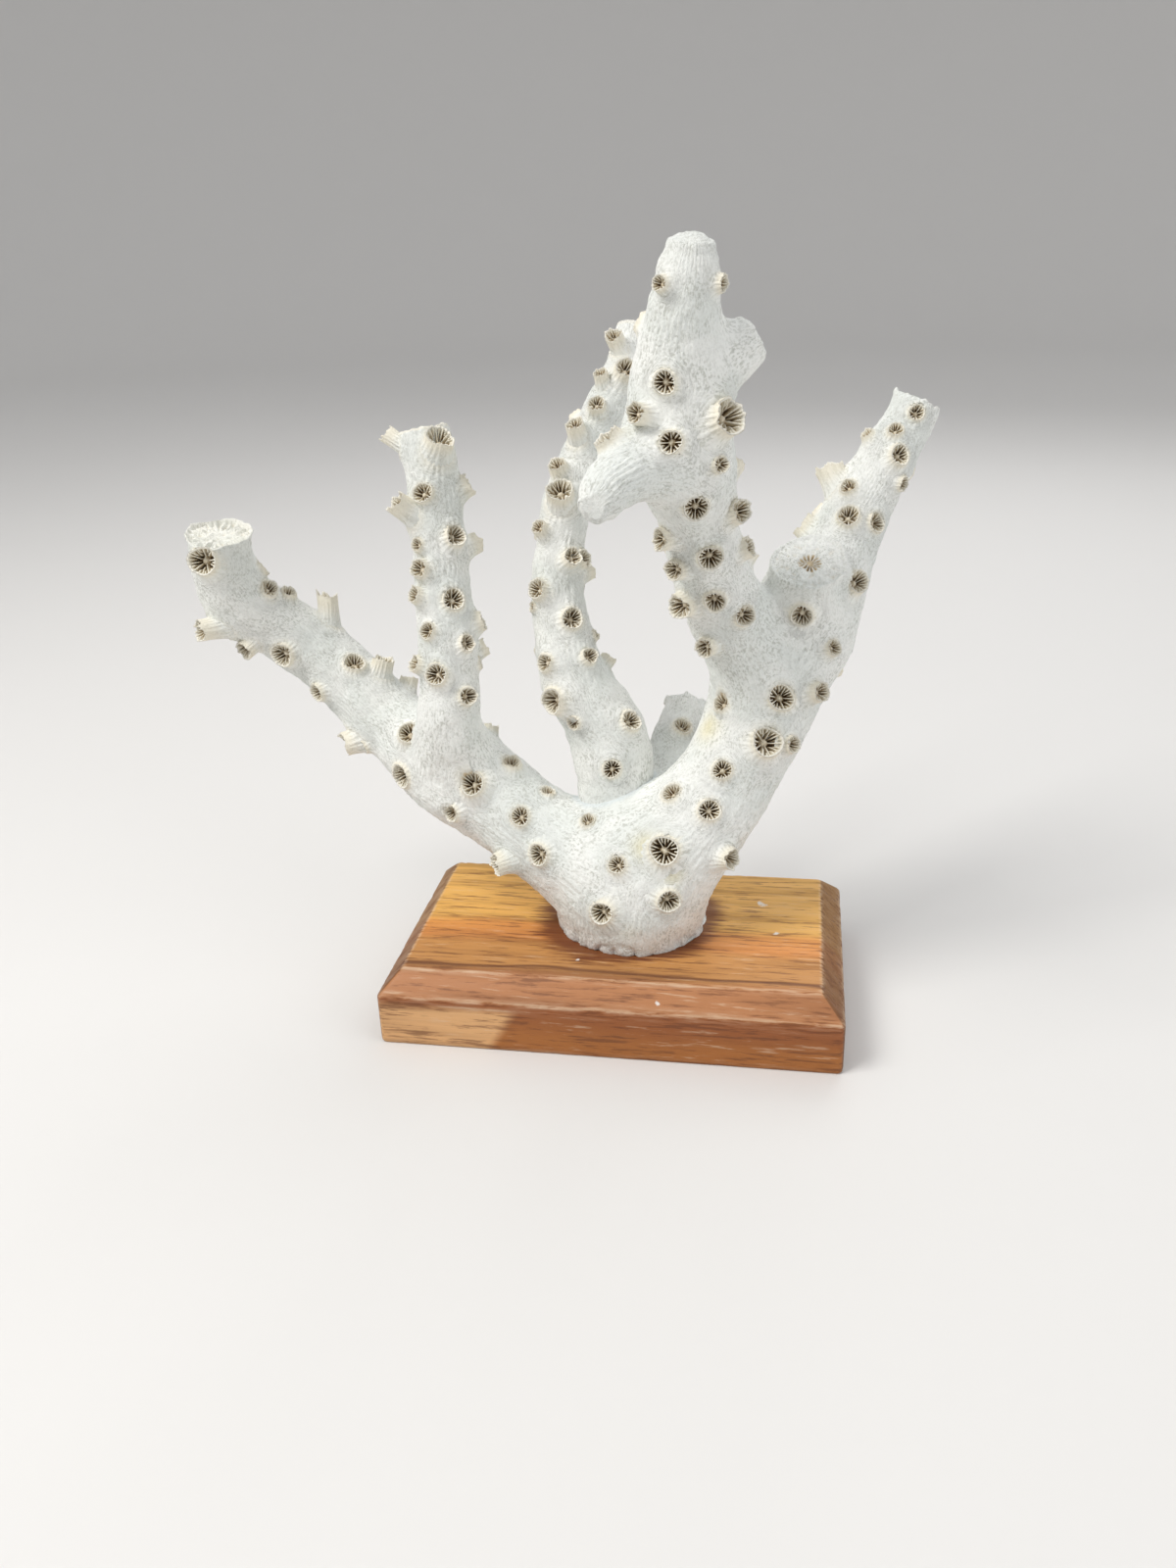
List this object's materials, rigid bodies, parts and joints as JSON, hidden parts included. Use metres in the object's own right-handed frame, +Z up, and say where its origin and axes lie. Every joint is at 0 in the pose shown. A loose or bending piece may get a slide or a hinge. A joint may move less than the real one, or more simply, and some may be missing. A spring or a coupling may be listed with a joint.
{
  "type": "branching coral on a wooden stand",
  "caption": "Dried branching coral skeleton with cup-shaped corallites all over its limbs, standing on a small rectangular wooden plaque with chamfered top edges.",
  "frame": {"origin": "middle of the plaque's underside, on the surface that it stands on", "axes": "+Z up, +X along the plaque's width to the viewer's right, +Y to the back, away from the viewer"},
  "size_m": [0.1725, 0.0853, 0.1748],
  "materials": {
    "wood": "thin worn varnish, straight reddish grain",
    "coral": "chalky, matt, finely granular and ribbed"
  },
  "bodies": {
    "root": {"plaque": "wood", "trunk": "coral", "left_branch": "coral", "left_upright": "coral", "middle_branch": "coral", "right_branch": "coral", "front_branch": "coral", "back_stub": "coral"}
  },
  "joints": []
}
